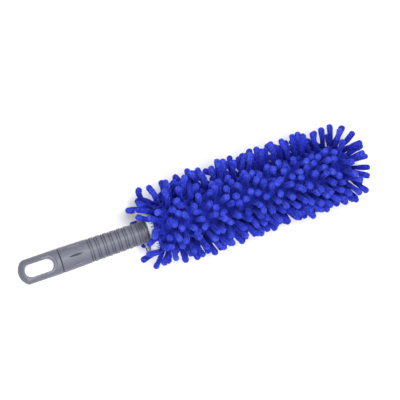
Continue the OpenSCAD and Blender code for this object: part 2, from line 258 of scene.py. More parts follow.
def bump(tree, shader, height, strength, distance):
    made = node(tree, "ShaderNodeBump", Strength=strength, Distance=distance)
    tree.links.new(height, made.inputs["Height"])
    tree.links.new(made.outputs["Normal"], shader.inputs["Normal"])


def coords(tree, kind="Object"):
    return tree.nodes.new("ShaderNodeTexCoord").outputs[kind]


def tone_of(tree):
    made = tree.nodes.new("ShaderNodeAttribute")
    made.attribute_name = "tone"
    return made.outputs["Fac"]


def yarn_uv(tree, stretch):
    """The mesh's yarn coordinates, in millimetres round and along, with the second one stretched."""
    uv = tree.nodes.new("ShaderNodeUVMap")
    uv.uv_map = "yarn"
    mapping = tree.nodes.new("ShaderNodeMapping")
    mapping.inputs["Scale"].default_value = (1, stretch, 1)
    tree.links.new(uv.outputs["UV"], mapping.inputs["Vector"])
    return mapping.outputs["Vector"]


def chenille_material(name, tuft, depth):
    """Dyed microfibre chenille with tufts a millimetre across; painted shade darkens each noodle's root and painted
    light brightens its tip.
    """
    m, tree, shader = new_material(name, 0.85, 0.65, 0.25, (0.10, 0.16, 1.0), 0.10)
    place = coords(tree)
    cells = node(tree, "ShaderNodeTexVoronoi", Scale=tuft, Randomness=0.9)
    tree.links.new(yarn_uv(tree, 0.7), cells.inputs["Vector"])
    grain = noise(tree, place, 900, 3)
    patch = noise(tree, place, 70, 2)
    mixed = maths(tree, "ADD", maths(tree, "MULTIPLY", grain, 0.35), maths(tree, "MULTIPLY", patch, 0.25))
    # painted shade at the roots and painted light at the tips come in with the per-vertex tone
    mixed = maths(tree, "ADD", mixed, maths(tree, "MULTIPLY", tone_of(tree), 0.62))
    mixed = maths(tree, "SUBTRACT", mixed, maths(tree, "MULTIPLY", cells.outputs["Distance"], 0.34))
    colour = ramp(
        tree,
        mixed,
        [
            (0.05, (0.0004, 0.0007, 0.040)),
            (0.38, (0.0018, 0.0038, 0.155)),
            (0.62, (0.0140, 0.0230, 0.38)),
            (0.90, (0.0650, 0.0970, 0.66)),
        ],
    )
    tree.links.new(colour, shader.inputs["Base Color"])
    height = maths(tree, "SUBTRACT", grain, maths(tree, "MULTIPLY", cells.outputs["Distance"], 1.2))
    bump(tree, shader, height, 0.7, depth)
    return m


def fibre_material(name, dark, light, tint):
    m, tree, shader = new_material(name, 0.9, 0.6, 0.4, tint, 0.1)
    # painted light: the per-vertex tone brightens the fibres towards their tips
    mixed = maths(tree, "ADD", maths(tree, "MULTIPLY", noise(tree, coords(tree), 400, 2), 0.4), tone_of(tree))
    tree.links.new(ramp(tree, mixed, [(0.25, dark), (1.15, light)]), shader.inputs["Base Color"])
    return m


def knit_material(name, dark, light, course, wale, depth, sheen=0.4):
    """Knitted cloth: courses run round the piece, wales along it."""
    m, tree, shader = new_material(name, 0.9, sheen, 0.5, (1, 1, 1), 0.2)
    uv = yarn_uv(tree, 1.0)
    rounds = node(tree, "ShaderNodeTexWave", Scale=course, Distortion=0.8, Detail_Scale=1.0)
    rounds.bands_direction = "Y"
    columns = node(tree, "ShaderNodeTexWave", Scale=wale, Distortion=0.6, Detail_Scale=1.0)
    columns.bands_direction = "X"
    for wave in (rounds, columns):
        tree.links.new(uv, wave.inputs["Vector"])
    place = coords(tree)
    grain = noise(tree, place, 700, 3)
    patch = noise(tree, place, 60, 2)
    weave = maths(tree, "MULTIPLY", rounds.outputs["Fac"], columns.outputs["Fac"])
    mixed = maths(tree, "ADD", maths(tree, "MULTIPLY", weave, 0.45), maths(tree, "MULTIPLY", grain, 0.4))
    mixed = maths(tree, "ADD", mixed, maths(tree, "MULTIPLY", patch, 0.3))
    tree.links.new(ramp(tree, mixed, [(0.2, dark), (0.85, light)]), shader.inputs["Base Color"])
    bump(tree, shader, maths(tree, "ADD", weave, maths(tree, "MULTIPLY", grain, 0.5)), 0.6, depth)
    return m


# Mask for the painted shade in the handle parts' grooves.
def hollow_depth(tree, place, y_rear, r_rear, y_front, r_front):
    """0 on a handle part's lands and 1 in its grooves. The lands taper from r_rear to r_front along Y."""
    parts = tree.nodes.new("ShaderNodeSeparateXYZ")
    tree.links.new(place, parts.inputs["Vector"])
    x, y, z = parts.outputs
    slope = (r_front - r_rear) / (y_front - y_rear)
    land = maths(tree, "ADD", maths(tree, "MULTIPLY", y, slope), r_rear - slope * y_rear)
    level = maths(tree, "DIVIDE", maths(tree, "SUBTRACT", z, AXIS_Z), GRIP_FLATNESS)
    square = maths(tree, "ADD", maths(tree, "MULTIPLY", x, x), maths(tree, "MULTIPLY", level, level))
    below = maths(tree, "SUBTRACT", land, maths(tree, "POWER", square, 0.5))
    made = node(tree, "ShaderNodeMapRange")
    made.inputs["From Min"].default_value = 0.25 * MM
    made.inputs["From Max"].default_value = 0.75 * MM
    tree.links.new(below, made.inputs["Value"])
    return made.outputs["Result"]


def plastic_material(name, dark, light, rough, grain_scale, grain_depth, groove_shade=None):
    """Moulded plastic with a fine spark-eroded grain and faint flow marks, and painted shade darkening the grooves
    when their sizes are given.
    """
    m, tree, shader = new_material(name, rough, 0.0, 0.4, (1, 1, 1), 0.45)
    place = coords(tree)
    grain = noise(tree, place, grain_scale, 4, 0.6)
    flow = noise(tree, place, 18, 3)
    # painted shade: the grooves are darkened in the base colour
    if groove_shade:
        flow = maths(tree, "SUBTRACT", flow, maths(tree, "MULTIPLY", hollow_depth(tree, place, *groove_shade), 0.8))
    # painted groove shade: the plastic's dark colour made darker still and a little bluer
    groove_shade_colour = tuple(share * v for share, v in zip((0.60, 0.61, 0.68), dark))
    tree.links.new(ramp(tree, flow, [(0.0, groove_shade_colour), (0.3, dark), (0.75, light)]), shader.inputs["Base Color"])
    spread = maths(tree, "ADD", maths(tree, "MULTIPLY", grain, 0.18), rough - 0.09)
    tree.links.new(spread, shader.inputs["Roughness"])
    bump(tree, shader, grain, 0.25, grain_depth)
    return m


def foam_material():
    """Open-cell foam: small pores and faint patches."""
    m, tree, shader = new_material("foam_open_cell", 0.95, 0.2, 0.5, (1, 1, 1), 0.1)
    place = coords(tree)
    cells = node(tree, "ShaderNodeTexVoronoi", Scale=620.0, Randomness=1.0)
    tree.links.new(place, cells.inputs["Vector"])
    patch = noise(tree, place, 40, 2)
    pores = maths(tree, "MULTIPLY", cells.outputs["Distance"], 0.7)
    mixed = maths(tree, "ADD", pores, maths(tree, "MULTIPLY", patch, 0.5))
    stops = [(0.2, (0.055, 0.058, 0.066)), (0.8, (0.16, 0.165, 0.18))]
    tree.links.new(ramp(tree, mixed, stops), shader.inputs["Base Color"])
    bump(tree, shader, cells.outputs["Distance"], 0.8, 0.0006)
    return m


def steel_material():
    m, tree, shader = new_material("pin_steel", 0.35)
    shader.inputs["Metallic"].default_value = 1.0
    grain = noise(tree, coords(tree), 800, 3)
    stops = [(0.3, (0.45, 0.46, 0.48)), (0.7, (0.62, 0.63, 0.65))]
    tree.links.new(ramp(tree, grain, stops), shader.inputs["Base Color"])
    bump(tree, shader, grain, 0.15, 0.00005)
    return m


CHENILLE = chenille_material("chenille_blue", 0.62, 0.0010)
FIBRE = fibre_material("chenille_fibre", (0.006, 0.011, 0.25), (0.060, 0.095, 0.90), (0.2, 0.3, 1.0))
BACKING = chenille_material("backing_nap", 1.3, 0.0005)
CUFF = knit_material("cuff_knit", (0.42, 0.43, 0.48), (0.86, 0.87, 0.92), 0.55, 0.7, 0.0006)
CUFF_FUZZ = fibre_material("cuff_fuzz", (0.62, 0.63, 0.68), (0.95, 0.95, 0.98), (1, 1, 1))
LINING = knit_material("lining_knit", (0.40, 0.39, 0.38), (0.72, 0.70, 0.68), 0.8, 0.8, 0.0004)
STITCH = fibre_material("stitch_yarn", (0.006, 0.010, 0.22), (0.04, 0.06, 0.62), (0.2, 0.3, 1.0))
HANDLE_LOOK = ((0.092, 0.096, 0.131), (0.114, 0.118, 0.157), 0.42, 1500, 0.00008)
CAP = plastic_material("cap_plastic", *HANDLE_LOOK)
# the grip and collar get painted shade in their grooves
GRIP = plastic_material("grip_plastic", *HANDLE_LOOK, (grip_low.y, GRIP_REAR_R, Y_MOUTH, GRIP_FRONT_R))
COLLAR = plastic_material("collar_plastic", *HANDLE_LOOK, (collar_low.y, collar_high.x, collar_high.y, collar_high.x))
STRIP = plastic_material("strip_plastic", (0.050, 0.052, 0.058), (0.075, 0.077, 0.085), 0.5, 1200, 0.00006)
FOAM = foam_material()
STEEL = steel_material()


# ---------------------------------------------------------------- hard CAD nodes
def smooth_by_angle(obj, degrees):
    """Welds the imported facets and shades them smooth, except across sharp edges."""
    weld = obj.modifiers.new("weld", "WELD")
    weld.merge_threshold = 2e-6
    group = bpy.data.node_groups.new(f"smooth_{obj.name}", "GeometryNodeTree")
    group.interface.new_socket("Geometry", in_out="INPUT", socket_type="NodeSocketGeometry")
    group.interface.new_socket("Geometry", in_out="OUTPUT", socket_type="NodeSocketGeometry")
    start = group.nodes.new("NodeGroupInput")
    end = group.nodes.new("NodeGroupOutput")
    faces = group.nodes.new("GeometryNodeSetShadeSmooth")
    faces.domain = "FACE"
    edges = group.nodes.new("GeometryNodeSetShadeSmooth")
    edges.domain = "EDGE"
    edges.inputs["Shade Smooth"].default_value = False
    angle = group.nodes.new("GeometryNodeInputMeshEdgeAngle")
    sharp = group.nodes.new("FunctionNodeCompare")
    sharp.data_type = "FLOAT"
    sharp.operation = "GREATER_THAN"
    sharp.inputs["B"].default_value = math.radians(degrees)
    group.links.new(angle.outputs["Unsigned Angle"], sharp.inputs["A"])
    group.links.new(start.outputs[0], faces.inputs["Geometry"])
    group.links.new(faces.outputs["Geometry"], edges.inputs["Geometry"])
    group.links.new(sharp.outputs["Result"], edges.inputs["Selection"])
    group.links.new(edges.outputs["Geometry"], end.inputs[0])
    smooth = obj.modifiers.new("smooth", "NODES")
    smooth.node_group = group


def finish_cad(name, material, degrees):
    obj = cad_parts[name]
    obj.data.materials.clear()
    obj.data.materials.append(material)
    smooth_by_angle(obj, degrees)
    return obj


finish_cad("hang_cap", CAP, 38)
finish_cad("grip_body", GRIP, 32)
finish_cad("neck_collar", COLLAR, 32)
finish_cad("strip_tang", STRIP, 30)
finish_cad("strip_blade", STRIP, 30)
finish_cad("tip_guard", STRIP, 30)
finish_cad("retaining_pins", STEEL, 30)


# ---------------------------------------------------------------- oval skins
def grid_faces(rings, around, flip=False):
    faces = []
    for i in range(rings - 1):
        for k in range(around):
            m = (k + 1) % around
            f = (i * around + k, i * around + m, (i + 1) * around + m, (i + 1) * around + k)
            faces.append(f[::-1] if flip else f)
    return faces


def drawn_forward(t):
    """How far the mouth's edge is drawn towards the tip at angle t: nothing below, most on top."""
    return 4.5 * MM * np.maximum(np.sin(t), 0) ** 3


def skin(name, a, b, y_from, reach, material, thickness, wobble=0.0):
    """Closed-nosed cloth tube from y_from, as a thin sheet with a Solidify wall."""
    around = 96
    straight = np.arange(y_from, NOSE_START, 3 * MM)
    nose = NOSE_START + reach * np.sin(np.linspace(0, math.pi / 2, 12))
    ys = np.concatenate([straight, nose[:-1]])
    scale = NOSE_LONG / reach
    angles = np.arange(around) * 2 * np.pi / around
    rings, uv = [], []
    for i, y in enumerate(ys):
        share = float(share_at(NOSE_START + (y - NOSE_START) * scale)) if y > NOSE_START else 1.0
        ripple = 1 + wobble * np.sin(angles * 7 + i * 0.5) * math.sin(i * 0.8)
        level = y + (drawn_forward(angles) * max(0.0, 1 - i / 3) if y_from < Y_MOUTH + 3 * MM else np.zeros(around))
        rings.append(
            np.stack([a * share * ripple * np.cos(angles), level, AXIS_Z + b * share * ripple * np.sin(angles)], 1)
        )
        uv.append(np.stack([angles * (a + b) / 2 / MM, np.full(around, y / MM)], 1))
    verts = np.vstack([np.concatenate(rings), [[0, NOSE_START + reach, AXIS_Z]]])
    uv = np.vstack([np.concatenate(uv), [[0, (NOSE_START + reach) / MM]]])
    faces = grid_faces(len(ys), around, flip=True)
    last, tip = (len(ys) - 1) * around, len(ys) * around
    faces += [(last + (k + 1) % around, last + k, tip) for k in range(around)]
    obj = make_object(name, verts, faces, material, attributes={"tone": np.full(len(verts), 0.72)}, uv=uv)
    wall = obj.modifiers.new("wall", "SOLIDIFY")
    wall.thickness = thickness
    wall.offset = -1
    return obj


backing = skin("backing_cloth", OVAL_A, OVAL_B, Y_CUFF_FRONT - 3 * MM, NOSE_LONG, BACKING, 0.9 * MM)
lining = skin(
    "lining_cloth",
    OVAL_A - LINING_INSET,
    OVAL_B - LINING_INSET,
    lining_low.y,
    NOSE_LONG - 1.4 * MM,
    LINING,
    0.5 * MM,
    wobble=0.004,
)
for cloth, cad, slot in ((backing, "backing", "backing"), (lining, "lining", "lining")):
    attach(cloth, "sleeve")
    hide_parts(cad)


# ---------------------------------------------------------------- noodles
def facet_angle(k):
    return (k + 0.5) * 2 * math.pi / FACETS


def root_of(t, y):
    """Root and outward direction of a noodle at angle t and height y, on the straight part or the nose."""
    share = float(share_at(y))
    point = np.array([OVAL_A * share * math.cos(t), y, AXIS_Z + OVAL_B * share * math.sin(t)])
    u = max(0.0, (y - NOSE_START) / NOSE_LONG)
    forward = OVAL_A * OVAL_B * u / (NOSE_LONG * max(share, 0.2))
    return point, unit([OVAL_B * math.cos(t), forward, OVAL_A * math.sin(t)])


class Noodle:
    """A noodle before it settles: where it grows, which way it first points, and how it is curled."""

    def __init__(self, node_name, root, out, length, curl):
        self.node, self.root, self.out = node_name, root, out
        self.length, self.curl = length, curl
        self.radius = NOODLE_R * rng.uniform(0.93, 1.05)


def mussed(y):
    """How untidy the pile is: most near the mouth, least towards the tip."""
    return 0.085 + 0.15 * math.exp(-max(0.0, y - ROW_Y[ROWS[0]]) / (60 * MM))


def front_share(y):
    """0 at the first row, 1 from 200 mm in front of it."""
    return float(np.clip((y - ROW_Y[ROWS[0]]) / (200 * MM), 0, 1))


def sweep(out, y):
    """Lean along the brush: both sides are brushed to the tip, but the left side's underside to the mouth."""
    if out[0] > 0:
        return (0.28 + 0.52 * front_share(y)) * out[0] ** 3
    return (0.26 if out[2] > 0.1 else -0.36) * -out[0]


def combed_back(number, k, out):
    """Extra lean of the rows at the mouth: by turns the noodles fold back over it or stay up."""
    turn = (k // 2) % 4
    if number == 1:
        return (-2.6, -0.7, -1.4, -0.5)[turn] * (0.8 if out[2] > 0.4 else 1.0)
    if number == 2:
        return (-1.2, 0.0, 0.0, 0.0)[turn] * (1.0 if out[0] > -0.8 else 0.2)
    return 0.0


# Where the seam shows most: middle and spread along Y, and how much more the noodles part there
BARE_PATCHES = ((150 * MM, 24 * MM, 0.95), (92 * MM, 11 * MM, 0.55))

noodles = []
for number, row in enumerate(ROWS, 1):
    for k in range(number % 2, FACETS, 2):
        if k == SEAM_FACET:
            continue
        y = ROW_Y[row] + rng.uniform(-0.9, 0.9) * MM
        t = facet_angle(k) + rng.normal(0, 0.02)
        root, out = root_of(t, y)
        loose = mussed(y) * (1.4 if out[0] < -0.6 else 1.0)
        lean = sweep(out, y)
        near = math.exp(-(y - ROW_Y[ROWS[0]]) / (11 * MM))
        lean -= 0.35 * near * (1 if out[2] < 0.4 else 0.4)
        # noodles beside the seam turn away from it, most in the front half
        aside = (k - SEAM_FACET) / 2
        bare = np.clip((y + 20 * MM) / (80 * MM), 0.25, 1)
        for middle, spread, more in BARE_PATCHES:
            bare += more * math.exp(-(((y - middle) / spread) ** 2))
        part = 0.5 * bare * math.copysign(math.exp(-abs(aside) * 0.8), aside)
        around = unit(np.cross(out, [0, 1, 0]))
        push = np.array([0, lean + rng.normal(0, loose), 0]) + around * (rng.normal(0, loose) + part)
        push = push + np.array([-0.12, -0.13 * (1 - front_share(y)), 0]) * max(out[2], 0)
        # away from the seam's side only one noodle in a row lies level; the next ones rise or sink
        if out[0] > 0 or out[2] < 0:
            push[2] += (0.45 if out[2] > 0 else 0.8) * out[0] ** 2 * out[2]
        push[1] += combed_back(number, k, out)
        curl = rng.normal(0, 1, 3) * (0.10 + 1.9 * (loose - 0.085))
        if rng.uniform() < 1.2 * (loose - 0.06):
            curl = curl * 2.5
        length = NOODLE_LONG * rng.uniform(0.88, 1.13)
        noodles.append(Noodle(row, root, unit(out + push), length, curl))
for row, every, y in (("nose_row_outer", 2, NOSE_START + 6 * MM), ("nose_row_inner", 4, NOSE_START + 15.5 * MM)):
    for k in range(0, FACETS, every):
        root, out = root_of(facet_angle(k), y)
        out = unit(out + rng.normal(0, 0.22, 3) * (1, 1, 0.6) + (0, 0.2 * (out[0] < -0.3), 0))
        noodles.append(Noodle(row, root, out, NOODLE_LONG * rng.uniform(0.96, 1.06), rng.normal(0, 0.16, 3)))
for k in (-1, 0, 1):
    root = np.array([k * 7.4 * MM, NOSE_START + NOSE_LONG * (0.93 if k else 1.0) - 1.5 * MM, AXIS_Z])
    out = unit([0.28 * k, 1, rng.normal(0, 0.05)])
    noodles.append(Noodle("tip_noodles", root, out, NOODLE_LONG * 0.98, rng.normal(0, 0.08, 3)))

JOINTS = 7


def close_pairs(points, owner, reach):
    """Pairs of joints of different noodles that are nearer to each other than reach."""
    cell = np.floor(points / reach).astype(int)
    buckets = {}
    for i, c in enumerate(map(tuple, cell)):
        buckets.setdefault(c, []).append(i)
    first, second = [], []
    around = [(a, b, c) for a in (-1, 0, 1) for b in (-1, 0, 1) for c in (-1, 0, 1)]
    for c, members in buckets.items():
        near = [j for d in around for j in buckets.get((c[0] + d[0], c[1] + d[1], c[2] + d[2]), ())]
        for i in members:
            for j in near:
                if j > i and owner[i] != owner[j]:
                    first.append(i)
                    second.append(j)
    return np.array(first), np.array(second)


def relax(items, rounds):
    """Lets the noodles settle: they curl, sag a little and push each other apart."""
    count = len(items)
    out = np.array([n.out for n in items])
    curl = np.array([n.curl for n in items])
    step = np.array([n.length for n in items]) / (JOINTS - 1)
    radius = np.array([n.radius for n in items])
    line = np.empty((count, JOINTS, 3))
    line[:, 0] = [n.root for n in items]
    for j in range(1, JOINTS):
        heading = unit(out + curl * ((j - 1) / (JOINTS - 2)) ** 1.3)
        line[:, j] = line[:, j - 1] + heading * step[:, None]
    at = line.copy()
    owner = np.repeat(np.arange(count), JOINTS - 1)
    hold = np.array([1.0, 1.0, 0.35, 0.16, 0.09, 0.05, 0.03])[None, :, None]
    weight = (np.arange(JOINTS) / (JOINTS - 1)) ** 2
    for turn in range(rounds):
        at[:, :, 2] -= weight * 0.10 * MM
        at += (line - at) * hold
        free = at[:, 1:].reshape(-1, 3)
        if turn % 8 == 0:
            first, second = close_pairs(free, owner, 11 * MM)
        gap = free[first] - free[second]
        distance = np.linalg.norm(gap, axis=1) + 1e-9
        bite = np.maximum((radius[owner[first]] + radius[owner[second]]) * 0.95 - distance, 0)
        shove = gap / distance[:, None] * bite[:, None] * 0.35
        push = np.zeros_like(free)
        np.add.at(push, first, shove)
        np.add.at(push, second, -shove)
        size = np.linalg.norm(push, axis=1, keepdims=True)
        push *= np.minimum(1, 1.2 * MM / (size + 1e-9))
        at[:, 1:] += push.reshape(count, JOINTS - 1, 3)
        at[:, 1] = line[:, 1]
        keep_out(at, radius)
        for j in range(1, JOINTS):
            at[:, j] = at[:, j - 1] + unit(at[:, j] - at[:, j - 1]) * step[:, None]
        at[:, 1:, 2] = np.maximum(at[:, 1:, 2], radius[:, None] + 0.3 * MM)
    return at


def keep_out(at, radius):
    """Moves joints out of the sleeve, the cuff band and the handle's collar."""
    x, y, z = at[:, 2:, 0], at[:, 2:, 1], at[:, 2:, 2] - AXIS_Z
    clear = radius[:, None] * 0.9
    inside = y < Y_CUFF_FRONT + 2 * MM
    a = np.where(inside, CUFF_A, OVAL_A * np.maximum(share_at(y), 0.05)) + clear
    b = np.where(inside, CUFF_B, OVAL_B * np.maximum(share_at(y), 0.05)) + clear
    behind = y < Y_MOUTH - 2 * MM
    collar = (collar_high.x - collar_low.x) / 2 + 1.0 * MM
    a = np.where(behind, collar + clear, a)
    b = np.where(behind, collar * 0.86 + clear, b)
    depth = np.sqrt((x / a) ** 2 + (z / b) ** 2) + 1e-9
    grow = np.where((depth < 1) & (y < NOSE_START + 12 * MM), 1 + (1 / depth - 1) * 0.6, 1)
    at[:, 2:, 0] = x * grow
    at[:, 2:, 2] = AXIS_Z + z * grow


paths = relax(noodles, 48)


def smooth_path(points, count):
    """Catmull-Rom curve through the points, evenly sampled by length."""
    p = np.vstack([2 * points[0] - points[1], points, 2 * points[-1] - points[-2]])
    out = []
    for i in range(1, len(p) - 2):
        for u in np.linspace(0, 1, 6, endpoint=False):
            a, b, c, d = p[i - 1 : i + 3]
            out.append(0.5 * (2 * b + (c - a) * u + (2 * a - 5 * b + 4 * c - d) * u**2 + (3 * b - a - 3 * c + d) * u**3))
    out.append(points[-1])
    out = np.array(out)
    along = np.concatenate([[0], np.cumsum(np.linalg.norm(np.diff(out, axis=0), axis=1))])
    want = np.asarray(count) * along[-1]
    return np.stack([np.interp(want, along, out[:, i]) for i in range(3)], 1), along[-1]


AROUND = 12
BODY_STATIONS = np.array([0.0, 0.06, 0.14, 0.22, 0.30, 0.38, 0.46, 0.54, 0.62, 0.70, 0.78, 0.85])
DOME = np.array([0.30, 0.62, 0.84, 0.96, 1.0])


FOOT_DEPTH = 0.9 * MM


def feet_in_cloth(verts):
    """Lifts points that reach deeper than the backing cloth up to it, clear of the foam and the tip guard."""
    beyond = np.maximum(verts[:, 1] - NOSE_START, 0)
    x, z = verts[:, 0], verts[:, 2] - AXIS_Z
    depth = np.sqrt((x / OVAL_A) ** 2 + (z / OVAL_B) ** 2 + (beyond / NOSE_LONG) ** 2) + 1e-9
    grow = np.maximum((1 - FOOT_DEPTH / OVAL_B) / depth, 1)
    return np.stack([x * grow, verts[:, 1] + beyond * (grow - 1), AXIS_Z + z * grow], 1)


def noodle_mesh(batch, noodle, points):
    """One chenille noodle: a lumpy round-ended tube and the fibres that stand out of it."""
    r = noodle.radius
    inward = points[0] - noodle.out * 1.2 * MM
    points = np.vstack([inward, points])
    length = noodle.length + 1.2 * MM
    dome_start = 1 - r * 1.15 / length
    body = BODY_STATIONS * dome_start / BODY_STATIONS[-1]
    stations = np.concatenate([body, dome_start + (1 - dome_start) * DOME[:-1], [0.999]])
    path, _ = smooth_path(points, stations)
    u = stations
    dome = np.clip(1 - (np.clip(u - dome_start, 0, 1) / (1 - dome_start)) ** 2.5, 0, 1) ** 0.4
    thicker_tip = 0.86 + 0.26 * np.clip((u - 0.45) / 0.4, 0, 1)
    ripple = 1 + 0.04 * np.sin(u * 9 + rng.uniform(0, 6))
    profile = r * dome * thicker_tip * ripple
    profile[-1] = 0.2 * r
    lumps = rng.normal(0, 0.035, (len(u), AROUND))
    lumps = (lumps + np.roll(lumps, 1, 1) + np.roll(lumps, 1, 0)) / 1.6
    radii = profile[:, None] * (1 + lumps)
    verts, faces = tube(path, radii, AROUND)
    shade = rng.uniform(-0.10, 0.10)
    # painted shade and light: the tone runs dark at the root and light at the tip; the per-noodle offset is a random
    # tone
    tone = np.repeat(0.20 + 0.78 * u**0.55 + shade, AROUND)
    tone = np.concatenate([tone, [0.4, 1.0 + shade]])
    angle = np.tile(np.arange(AROUND) * 2 * np.pi / AROUND * r / MM, len(u))
    along = np.repeat(u * length / MM, AROUND)
    offset = rng.uniform(0, 400)
    ends = [[offset, offset], [offset, length / MM + offset]]
    uv = np.vstack([np.stack([angle + offset, along + offset], 1), ends])
    batch.add(feet_in_cloth(verts), faces, 0, tone, uv)
    add_fibres(batch, path, profile, u, dome_start, shade)


FIBRES = 230


def add_fibres(batch, path, profile, stations, dome_start, shade):
    """Short fibres square to the noodle's skin, as thin blades."""
    tangent, one, two = frames_along(path)
    pick = rng.uniform(0.05, 1.0, FIBRES)
    centre = np.stack([np.interp(pick, stations, path[:, i]) for i in range(3)], 1)
    t = unit(np.stack([np.interp(pick, stations, tangent[:, i]) for i in range(3)], 1))
    a = np.stack([np.interp(pick, stations, one[:, i]) for i in range(3)], 1)
    b = np.stack([np.interp(pick, stations, two[:, i]) for i in range(3)], 1)
    angle = rng.uniform(0, 2 * np.pi, FIBRES)
    radial = a * np.cos(angle)[:, None] + b * np.sin(angle)[:, None]
    cap = np.clip((pick - dome_start) / (1 - dome_start), 0, 1)
    stand = radial * np.sqrt(1 - cap**2)[:, None] + t * (cap + 0.12)[:, None]
    direction = unit(stand + rng.normal(0, 0.25, (FIBRES, 3)))
    base = centre + radial * (np.interp(pick, stations, profile) * 0.93)[:, None]
    long = rng.uniform(0.5, 1.05, FIBRES) * MM
    across = unit(np.cross(direction, rng.normal(0, 1, (FIBRES, 3))))
    width = across * (rng.uniform(0.16, 0.28, FIBRES) * MM)[:, None]
    verts = np.empty((FIBRES, 3, 3))
    verts[:, 0], verts[:, 1], verts[:, 2] = base - width, base + width, base + direction * long[:, None]
    faces = [(3 * i, 3 * i + 1, 3 * i + 2) for i in range(FIBRES)]
    # painted shade and light: fibres darker near the noodle's root and lighter towards its tip; each fibre's own tip
    # is lighter still as a painted rim highlight
    tone = np.clip(0.25 + 0.45 * pick + shade, 0, 1.2)
    tone = np.stack([tone, tone, tone + 0.4], 1).ravel()
    batch.add(feet_in_cloth(verts.reshape(-1, 3)), faces, 1, tone, np.zeros((FIBRES * 3, 2)))


batches = {}
for item, points in zip(noodles, paths):
    noodle_mesh(batches.setdefault(item.node, Batch()), item, points)
for name, batch in batches.items():
    pile = batch.build(f"pile_{name}", [CHENILLE, FIBRE])
    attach(pile, "sleeve")
    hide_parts(name)


# ---------------------------------------------------------------- cuff band, stitches and seam
def cuff_band():
    """Knitted hem folded round the mouth: a fat, slightly wavy band with fuzz."""
    around, section = 132, 18
    middle = (Y_MOUTH + Y_CUFF_FRONT) / 2
    half = (Y_CUFF_FRONT - Y_MOUTH) / 2
    thick = 1.5 * MM
    angles = np.arange(around) * 2 * np.pi / around
    turn = np.arange(section) * 2 * np.pi / section
    verts, uv = [], []
    for t in angles:
        wave = 0.35 * MM * math.sin(3 * t + 1) + 0.25 * MM * math.sin(7 * t)
        normal = unit([OVAL_B * math.cos(t), 0, OVAL_A * math.sin(t)])
        spine = np.array([(CUFF_A - 1.25 * MM) * math.cos(t), middle, AXIS_Z + (CUFF_B - 1.25 * MM) * math.sin(t)])
        rib = 1 + 0.10 * math.sin(t * 66)
        for s in turn:
            along = math.copysign(abs(math.sin(s)) ** 0.6, math.sin(s)) * half
            out = math.copysign(abs(math.cos(s)) ** 0.8, math.cos(s)) * thick * 0.72 * (rib if math.cos(s) > 0 else 1)
            along += drawn_forward(t) * (0.5 - 0.5 * along / half)
            verts.append(spine + normal * (out + wave * 0.25) + np.array([0, along + wave * 0.6, 0]))
            uv.append((t * (CUFF_A + CUFF_B) / 2 / MM, s * 5))
    faces = []
    for i in range(around):
        j = (i + 1) % around
        for k in range(section):
            m = (k + 1) % section
            faces.append((i * section + k, j * section + k, j * section + m, i * section + m))
    verts = np.array(verts)
    batch = Batch()
    batch.add(verts, faces, 0, np.full(len(verts), 0.6), np.array(uv))
    count = 2600
    pick = rng.integers(0, len(verts), count)
    base = verts[pick] + rng.normal(0, 0.4 * MM, (count, 3)) * np.array([1, 1.2, 1])
    t = np.arctan2((base[:, 2] - AXIS_Z) / CUFF_B, base[:, 0] / CUFF_A)
    radial = unit(np.stack([OVAL_B * np.cos(t), np.zeros(count), OVAL_A * np.sin(t)], 1))
    inner = ((base[:, 0] / (CUFF_A - 1.25 * MM)) ** 2 + ((base[:, 2] - AXIS_Z) / (CUFF_B - 1.25 * MM)) ** 2) < 1
    radial[inner] *= -0.4
    direction = unit(radial + rng.normal(0, 0.5, (count, 3)))
    width = unit(np.cross(direction, rng.normal(0, 1, (count, 3)))) * 0.14 * MM
    long = rng.uniform(0.5, 1.1, count) * MM
    fibres = np.stack([base - width, base + width, base + direction * long[:, None]], 1).reshape(-1, 3)
    faces = [(3 * i, 3 * i + 1, 3 * i + 2) for i in range(count)]
    batch.add(fibres, faces, 1, np.full(count * 3, 0.7), np.zeros((count * 3, 2)))
    return batch.build("cuff_hem", [CUFF, CUFF_FUZZ])


hem = cuff_band()
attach(hem, "sleeve")
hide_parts("cuff_band")


def on_oval(a, b, t, y, lift=0.0):
    normal = unit([b * math.cos(t), 0, a * math.sin(t)])
    return np.array([a * math.cos(t), y, AXIS_Z + b * math.sin(t)]) + normal * lift


def stitches():
    """Overlock: teeth of blue yarn over the band's front edge and a chain of loops along it."""
    batch = Batch()
    teeth = 46
    a, b = CUFF_A - 0.35 * MM, CUFF_B - 0.35 * MM
    for i in range(teeth):
        t = i * 2 * math.pi / teeth + rng.normal(0, 0.012)
        reach = rng.uniform(2.6, 4.0) * MM
        lean = rng.normal(0, 0.018)
        path = np.array([
            on_oval(OVAL_A, OVAL_B, t - 0.03, Y_CUFF_FRONT + 1.6 * MM, 0.2 * MM),
            on_oval(a, b, t - 0.02, Y_CUFF_FRONT + 0.4 * MM, 0.55 * MM),
            on_oval(a, b, t + lean * 0.5, Y_CUFF_FRONT - reach * 0.5, 0.75 * MM),
            on_oval(a, b, t + lean, Y_CUFF_FRONT - reach * 0.9, 0.60 * MM),
            on_oval(a, b, t + lean, Y_CUFF_FRONT - reach, -0.1 * MM),
        ])
        path, _ = smooth_path(path, np.linspace(0, 1, 10))
        verts, faces = tube(path, np.full(10, 0.48 * MM), 7)
        batch.add(verts, faces, 0, np.full(len(verts), rng.uniform(0.3, 0.8)), np.zeros((len(verts), 2)))
    turns = 260
    t = np.arange(turns) * 2 * np.pi / turns
    chain = np.array([
        on_oval(
            OVAL_A,
            OVAL_B,
            v,
            Y_CUFF_FRONT + 1.4 * MM + 0.7 * MM * math.sin(v * teeth),
            0.7 * MM + 0.3 * MM * math.cos(v * teeth),
        )
        for v in t
    ])
    verts, faces = tube(chain, np.full(turns, 0.62 * MM), 6, closed=True)
    batch.add(verts, faces, 0, np.full(len(verts), 0.5), np.zeros((len(verts), 2)))
    return batch.build("cuff_overlock", [STITCH])


overlock = stitches()
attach(overlock, "sleeve")
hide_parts("cuff_stitches")


